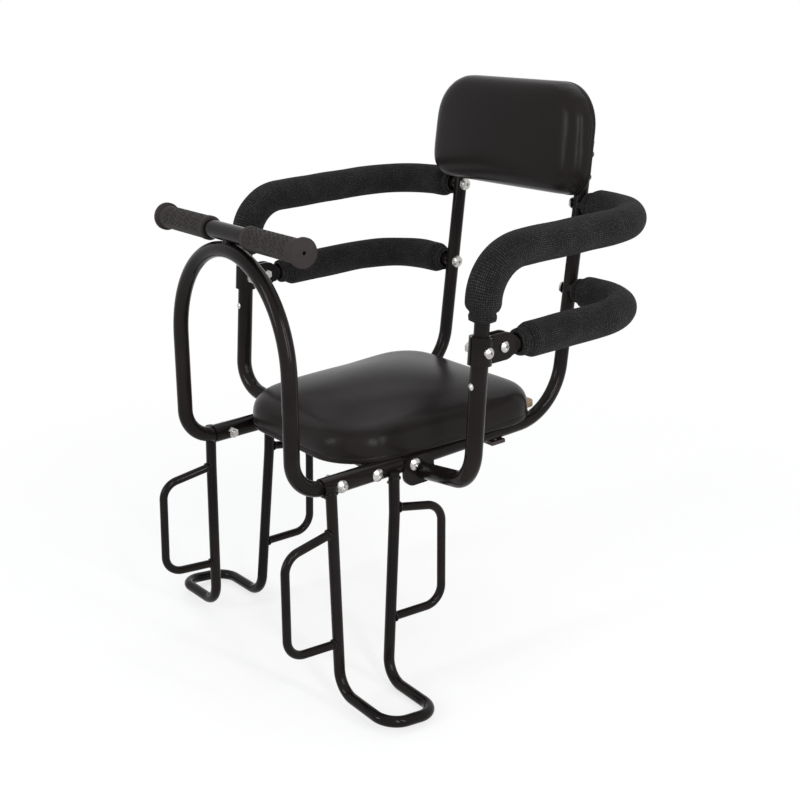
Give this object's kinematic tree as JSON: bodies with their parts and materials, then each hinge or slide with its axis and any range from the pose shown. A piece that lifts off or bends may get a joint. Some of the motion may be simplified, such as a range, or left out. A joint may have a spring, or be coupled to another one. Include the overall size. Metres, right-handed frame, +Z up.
{
  "type": "rear child bike seat",
  "caption": "Rear child seat for a bicycle rack: padded seat and backrest on a bent tube frame with foam armrests, front hoop with handlebar, and foot loops.",
  "frame": {"origin": "middle of the front strap's lower face, which rests on the bicycle's rack", "axes": "+X to the child's left, -Y forwards (the way the child looks), +Z up"},
  "size_m": [0.464, 0.4424, 0.5831],
  "materials": {
    "gloss_black_paint": "gloss black stove enamel on steel tube",
    "black_paint": "satin black paint on flat steel",
    "bright_zinc": "bright zinc plate",
    "grip_rubber": "matt, ribbed, dark grey",
    "black_plastic": "satin black",
    "knit_foam": "knitted black sleeve over foam",
    "imitation_leather": "black imitation leather, fine grain, soft sheen",
    "plywood": "bare plywood"
  },
  "bodies": {
    "root": {"front_hoop": "gloss_black_paint", "handlebar_tube": "gloss_black_paint", "grip_left": "grip_rubber", "grip_right": "grip_rubber", "leg_sleeve_left": "gloss_black_paint", "leg_sleeve_right": "gloss_black_paint", "leg_loop_left": "gloss_black_paint", "leg_loop_right": "gloss_black_paint", "front_guard_left": "gloss_black_paint", "front_guard_right": "gloss_black_paint", "rear_guard_left": "gloss_black_paint", "rear_guard_right": "gloss_black_paint", "seat_rail_left": "gloss_black_paint", "seat_rail_right": "gloss_black_paint", "upright_caps": "black_plastic", "arm_post_left": "gloss_black_paint", "arm_post_right": "gloss_black_paint", "post_bracket_left": "gloss_black_paint", "post_bracket_right": "gloss_black_paint", "armrest_tube_left": "gloss_black_paint", "armrest_tube_right": "gloss_black_paint", "armrest_foam_left": "knit_foam", "armrest_foam_right": "knit_foam", "side_bar_left": "gloss_black_paint", "side_bar_right": "gloss_black_paint", "side_bar_foam_left": "knit_foam", "side_bar_foam_right": "knit_foam", "clamp_plates_left": "gloss_black_paint", "clamp_plates_right": "gloss_black_paint", "end_plugs": "bright_zinc", "post_rivets": "bright_zinc", "front_strap": "black_paint", "rear_strap": "black_paint", "rack_plate_front": "black_paint", "rack_plate_rear": "black_paint", "rack_bolts": "bright_zinc", "rack_nuts": "bright_zinc", "strap_bolts": "bright_zinc", "seat_board": "plywood", "seat_cushion": "imitation_leather", "backrest_board": "plywood", "backrest_cushion": "imitation_leather", "board_screws": "bright_zinc", "sleeve_bolts": "bright_zinc", "sleeve_nuts": "bright_zinc", "bracket_bolts": "bright_zinc", "bracket_nuts": "bright_zinc", "clamp_bolts": "bright_zinc", "clamp_nuts": "bright_zinc", "upright_bolts": "bright_zinc"}
  },
  "joints": []
}
